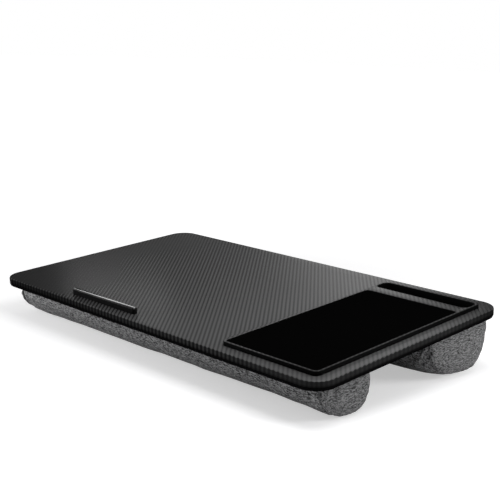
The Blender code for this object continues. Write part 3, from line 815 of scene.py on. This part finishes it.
# Painted shade runs from the left colours to the darker right ones.
fade = x.between(*TOP_FADE)
left_colour = platform_finish.blend(rib * TOP_RIB, grey(LEFT_DARK), grey(LEFT_LIGHT))
shaded_right_colour = platform_finish.blend(rib * TOP_RIB, grey(RIGHT_SHADED_DARK), grey(RIGHT_SHADED_LIGHT))
top_colour = platform_finish.blend(fade, left_colour, shaded_right_colour)
platform_finish.set("Base Color", platform_finish.blend(on_top, grey(MOULDED_TONE), top_colour))
platform_finish.set("Roughness", MOULDED_ROUGHNESS - on_top * back * BACK_GLOSS + grain * GRAIN_ROUGHNESS)
platform_finish.set("Coat Weight", on_top * (TOP_COAT + rib * RIB_COAT - fade * FADED_COAT) + WALL_COAT)
platform_finish.relief((grain + back * on_top) * 0.5, MOULDED_RELIEF, strength=0.5)
paint(platform_finish.material, platform)

# %% [markdown]
# ## Pad, ledge, panel and backing
# The pad is a very dark, matt cloth with a fine plain weave. The ledge is black plastic, polished
# on its top. The panel's edge is painted, and the backing is a pressed cloth without a weave.

# %% Pad cloth
KNIT_SPACING, FLUFF_SCALE = 0.0008, 1800.0
PAD_DARK, PAD_LIGHT = 0.0006, 0.0018
PAD_ROUGHNESS, FLUFF_ROUGHNESS, PAD_RELIEF = 0.86, 0.10, 0.00005

pad_finish = Finish("pad_cloth", Specular_IOR_Level=0.0)
x, y, _ = pad_finish.on_board()
knit = 2 * math.pi / KNIT_SPACING
weave = (x * knit).cosine() * (y * knit).cosine()
fluff = pad_finish.speckle(pad_finish.place, FLUFF_SCALE, detail=3.0)
pad_finish.set("Base Color", pad_finish.blend(fluff, grey(PAD_DARK), grey(PAD_LIGHT)))
pad_finish.set("Roughness", PAD_ROUGHNESS + fluff * FLUFF_ROUGHNESS)
pad_finish.relief((weave + fluff) * 0.5, PAD_RELIEF, strength=0.5)
paint(pad_finish.material, pad)

# %% Ledge plastic
HAZE_STRETCH, WAVE_SCALE = (60.0, 400.0, 400.0), 220.0
LEDGE_DARK, LEDGE_LIGHT = 0.0025, 0.005
LEDGE_ROUGHNESS, HAZE_ROUGHNESS = 0.40, 0.10
POLISHED = (LEDGE_HIGH.z - 0.0009, LEDGE_HIGH.z - 0.0003)
POLISH, DULL = 0.98, 0.02
LEDGE_RELIEF = 0.00003

ledge_finish = Finish("ledge_plastic", Specular_IOR_Level=0.0, Coat_IOR=1.7, Coat_Roughness=0.08)
_, _, z = ledge_finish.on_board()
haze = ledge_finish.speckle(ledge_finish.stretched(HAZE_STRETCH), 1.0)
ledge_finish.set("Base Color", ledge_finish.blend(haze, grey(LEDGE_DARK), grey(LEDGE_LIGHT)))
ledge_finish.set("Roughness", LEDGE_ROUGHNESS + haze * HAZE_ROUGHNESS)
ledge_finish.set("Coat Weight", z.between(*POLISHED) * POLISH + DULL)
waves = ledge_finish.speckle(ledge_finish.place, WAVE_SCALE, detail=1.0)
ledge_finish.relief(waves, LEDGE_RELIEF, strength=0.4)
paint(ledge_finish.material, ledge)

# %% Painted panel
PORE_SCALE, PORE_RELIEF = 900.0, 0.00008
PAINT_DARK, PAINT_LIGHT = 0.0015, 0.0045
PAINT_ROUGHNESS, PORE_ROUGHNESS = 0.55, 0.25

panel_finish = Finish("painted_panel", Specular_IOR_Level=0.0)
pores = panel_finish.speckle(panel_finish.place, PORE_SCALE, detail=4.0, roughness=0.7)
panel_finish.set("Base Color", panel_finish.blend(pores, grey(PAINT_DARK), grey(PAINT_LIGHT)))
panel_finish.set("Roughness", PAINT_ROUGHNESS + pores * PORE_ROUGHNESS)
panel_finish.relief(pores, PORE_RELIEF, strength=0.6)
paint(panel_finish.material, panel)

# %% Backing cloth and screws
FELT_STRETCH, FELT_RELIEF = (900.0, 300.0, 900.0), 0.0001
FELT_DARK, FELT_LIGHT = 0.004, 0.016
FELT_ROUGHNESS, FIBRE_ROUGHNESS = 0.85, 0.12
ZINC_DARK, ZINC_LIGHT = 0.42, 0.60
SCUFF_SCALE, ZINC_ROUGHNESS, SCUFF_ROUGHNESS = 1500.0, 0.25, 0.2

backing_finish = Finish("backing_cloth", Specular_IOR_Level=0.15)
fibres = backing_finish.speckle(backing_finish.stretched(FELT_STRETCH), 1.0, detail=4.0, roughness=0.7)
backing_finish.set("Base Color", backing_finish.blend(fibres, grey(FELT_DARK), grey(FELT_LIGHT)))
backing_finish.set("Roughness", FELT_ROUGHNESS + fibres * FIBRE_ROUGHNESS)
backing_finish.relief(fibres, FELT_RELIEF, strength=0.7)
paint(backing_finish.material, nodes["cushion_backing"])

screw_finish = Finish("zinc_steel", Metallic=1.0)
scuffs = screw_finish.speckle(screw_finish.place, SCUFF_SCALE, detail=3.0)
screw_finish.set("Base Color", screw_finish.blend(scuffs, grey(ZINC_DARK), grey(ZINC_LIGHT)))
screw_finish.set("Roughness", ZINC_ROUGHNESS + scuffs * SCUFF_ROUGHNESS)
paint(screw_finish.material, *(nodes[f"platform_screw_{number}"] for number in range(1, 5)))

# %% [markdown]
# ## Heather cloth
# Each thread of the cloth has its own grey. Noise that is stretched along a thread and fine
# across it draws threads in two directions, and the direction with the larger share leads. The
# end panels are cut across, so there the threads follow other axes, chosen by the surface's own
# normal. They are finer there, with softer steps from dark to light.

# %% Cushion cloth
FINE, LONG = 900.0, 225.0
END_FINE, END_LONG, END_LONGER = 1100.0, 280.0, 200.0
END_FACING = (0.75, 0.95)
SIDE_SHARES, END_SHARES = (0.66, 0.34), (0.72, 0.28)
# Painted shade: the end panels' grey is drawn a little darker than the sides'.
SIDE_STEP, END_STEP, END_SHADE = (0.41, 0.60), (0.37, 0.66), 0.92
CLOUD_SCALE, CLOUD_SHARE = 70.0, 0.05
CLOTH_DARK, CLOTH_LIGHT = 0.012, 0.290
CLOTH_ROUGHNESS, LIGHT_GLOSS, CLOTH_RELIEF = 0.95, 0.05, 0.0003

cloth_finish = Finish("heather_cloth", Specular_IOR_Level=0.10)


def thread_noise(*scales):
    """Noise that is stretched along the axis with the smallest scale."""
    return cloth_finish.speckle(cloth_finish.stretched(scales), 1.0, detail=2.5, roughness=0.7)


facing = cloth_finish.axes(cloth_finish.add("ShaderNodeNewGeometry").outputs["Normal"])
end_on = facing[0].size().between(*END_FACING)
along_x = thread_noise(LONG, FINE, FINE)
round_x = thread_noise(FINE, LONG, LONG)
along_y = thread_noise(END_FINE, END_LONGER, END_FINE)
along_z = thread_noise(END_FINE, END_FINE, END_LONG)
on_sides = along_x * SIDE_SHARES[0] + round_x * SIDE_SHARES[1]
on_ends = along_y * END_SHARES[0] + along_z * END_SHARES[1]
threads = on_sides * (1.0 - end_on) + on_ends * end_on
cloudy = cloth_finish.speckle(cloth_finish.place, CLOUD_SCALE)
# The end panels' grey carries a little painted shade.
side_grey, end_grey = on_sides.between(*SIDE_STEP), on_ends.between(*END_STEP) * END_SHADE
light = (side_grey * (1.0 - end_on) + end_grey * end_on) * (1.0 - CLOUD_SHARE) + cloudy * CLOUD_SHARE
cloth_finish.set("Base Color", cloth_finish.blend(light, grey(CLOTH_DARK), grey(CLOTH_LIGHT)))
cloth_finish.set("Roughness", CLOTH_ROUGHNESS - light * LIGHT_GLOSS)
cloth_finish.relief(threads, CLOTH_RELIEF, strength=0.6)
paint(cloth_finish.material, *cushions.values())

# %% [markdown]
# ## Floor, background and lamps
# The tray stands on a white table in soft light. A camera and a mirror see the far floor glow
# white, while near the tray the floor glows less, so that its shadow keeps its depth.

# %% Floor
FLOOR_SIZE, FLOOR_DROP = 30, 0.0003
FLOOR_DIFFUSE = 0.75
NEAR_GLOW, FAR_GLOW = 0.45, 1.0
GLOW_START, GLOW_END = 0.40, 0.95
bpy.ops.object.select_all(action="DESELECT")
bpy.ops.mesh.primitive_plane_add(size=FLOOR_SIZE, location=(0.0, 0.0, -FLOOR_DROP))
floor = bpy.context.object
floor.name = floor.data.name = "floor"
floor_finish = Finish("white_table")
tree = floor_finish.tree
sight = floor_finish.add("ShaderNodeLightPath")
seen = Signal(floor_finish, sight.outputs["Is Camera Ray"])
for kind in ("Is Glossy Ray", "Is Transmission Ray"):
    seen = seen.maths("MAXIMUM", seen, sight.outputs[kind])
reach = Signal(floor_finish, floor_finish.add("ShaderNodeVectorMath", {"operation": "LENGTH"},
                                              {0: floor_finish.place}).outputs["Value"])
level = reach.between(GLOW_START, GLOW_END) * (FAR_GLOW - NEAR_GLOW) + NEAR_GLOW
diffuse = floor_finish.add("ShaderNodeBsdfDiffuse", None, {"Color": grey(FLOOR_DIFFUSE)})
glow = floor_finish.add("ShaderNodeEmission", None, {"Strength": seen * level})
both = floor_finish.add("ShaderNodeAddShader", None, {0: diffuse.outputs[0], 1: glow.outputs[0]})
tree.links.new(both.outputs[0], tree.nodes["Material Output"].inputs["Surface"])
tree.nodes.remove(floor_finish.shader)
paint(floor_finish.material, floor)

# %% [markdown]
# The world is an even, plain light. Only reflections see more of the room: a wide, soft window
# behind the tray with dimmer wall beside it, a low light on the two far sides and a dark ceiling.
# That gives a satin print part of its slow change of tone from one side to the other; painted light
# in the print's colour gives the rest.

# %% World
WORLD_LEVEL = 0.34
ROOM_DARK, ROOM_BRIGHT = 0.04, 1.35
ROOM_TURN = math.radians(45.0)
BESIDE_TONE, BESIDE_START, BESIDE_END = 0.18, -0.20, -0.06
WINDOW_START, WINDOW_OPEN, WINDOW_CLOSE, WINDOW_END = -0.03, 0.09, 0.13, 0.20
FAR_TONE, FAR_START, FAR_END = 0.30, 0.35, 0.60
LOW_TONE, LOW_END = 0.55, 0.45
CEILING_START, CEILING_END = 0.50, 0.80


class Room(Finish):
    """The world, built with the same tools as a finish."""

    def __init__(self, world):
        self.tree = world.node_tree
        self.shader = self.tree.nodes["Background"]


world = bpy.data.worlds.new("white_room")
bpy.context.scene.world = world
world.use_nodes = True
room = Room(world)
towards = room.axes(room.add("ShaderNodeTexCoord").outputs["Generated"])
path = room.add("ShaderNodeLightPath")
sideways = towards[0] * math.cos(ROOM_TURN) + towards[1] * math.sin(ROOM_TURN)
beside = sideways.between(BESIDE_START, BESIDE_END) * BESIDE_TONE
window = sideways.between(WINDOW_START, WINDOW_OPEN) * (1.0 - BESIDE_TONE)
closed = sideways.between(WINDOW_CLOSE, WINDOW_END)
far_sides = sideways.size().between(FAR_START, FAR_END) * FAR_TONE
across = (beside + window) * (1.0 - closed) + far_sides
upwards = towards[2].between(0.0, LOW_END) * (1.0 - LOW_TONE) + LOW_TONE
room_tone = across * upwards * (1.0 - towards[2].between(CEILING_START, CEILING_END))
mirrored = room_tone * (ROOM_BRIGHT - ROOM_DARK) + ROOM_DARK
is_camera, is_glossy, is_clear = (Signal(room, path.outputs[f"Is {kind} Ray"])
                                  for kind in ("Camera", "Glossy", "Transmission"))
straight = is_camera.maths("MAXIMUM", is_camera, is_clear)
even = (1.0 - straight) * (1.0 - is_glossy) * WORLD_LEVEL
room.set("Strength", straight + is_glossy * mirrored * (1.0 - straight) + even)
room.shader.inputs["Color"].default_value = (1.0, 1.0, 1.0, 1.0)
print(f"{world.name}: {len(room.tree.nodes)} nodes")

# %% Lamps
def lamp(name, place, target, width, height, watts, roll=0.0):
    """A soft lamp of a width and height at a place, turned to a target and rolled by some degrees."""
    data = bpy.data.lights.new(name, "AREA")
    data.shape = "RECTANGLE"
    data.size, data.size_y, data.energy = width, height, watts
    item = bpy.data.objects.new(name, data)
    direction = Vector(target) - Vector(place)
    turned = direction.to_track_quat("-Z", "Y").to_matrix().to_4x4()
    item.matrix_world = Matrix.Translation(place) @ turned @ Matrix.Rotation(math.radians(roll), 4, "Z")
    item.visible_camera = False
    bpy.context.scene.collection.objects.link(item)
    print(f"{name}: {watts} W, {width * 100:.0f} by {height * 100:.0f} cm")


lamp("soft_top", (0.24, -0.06, 0.54), (0.14, -0.03, 0.05), 0.40, 0.40, 2.1)
lamp("side_light", (1.05, 0.68, 0.42), (0.26, 0.0, 0.04), 0.50, 0.30, 7.8)
lamp("front_light", (-0.85, -0.64, 0.15), (-0.10, -0.13, 0.03), 0.90, 0.24, 8.8)
lamp("ledge_strip", (-1.245, 0.659, 0.572), (-0.076, -0.135, 0.0675), 0.28, 0.08, 0.16, -26.3)
bpy.context.scene.view_settings.view_transform = "Standard"
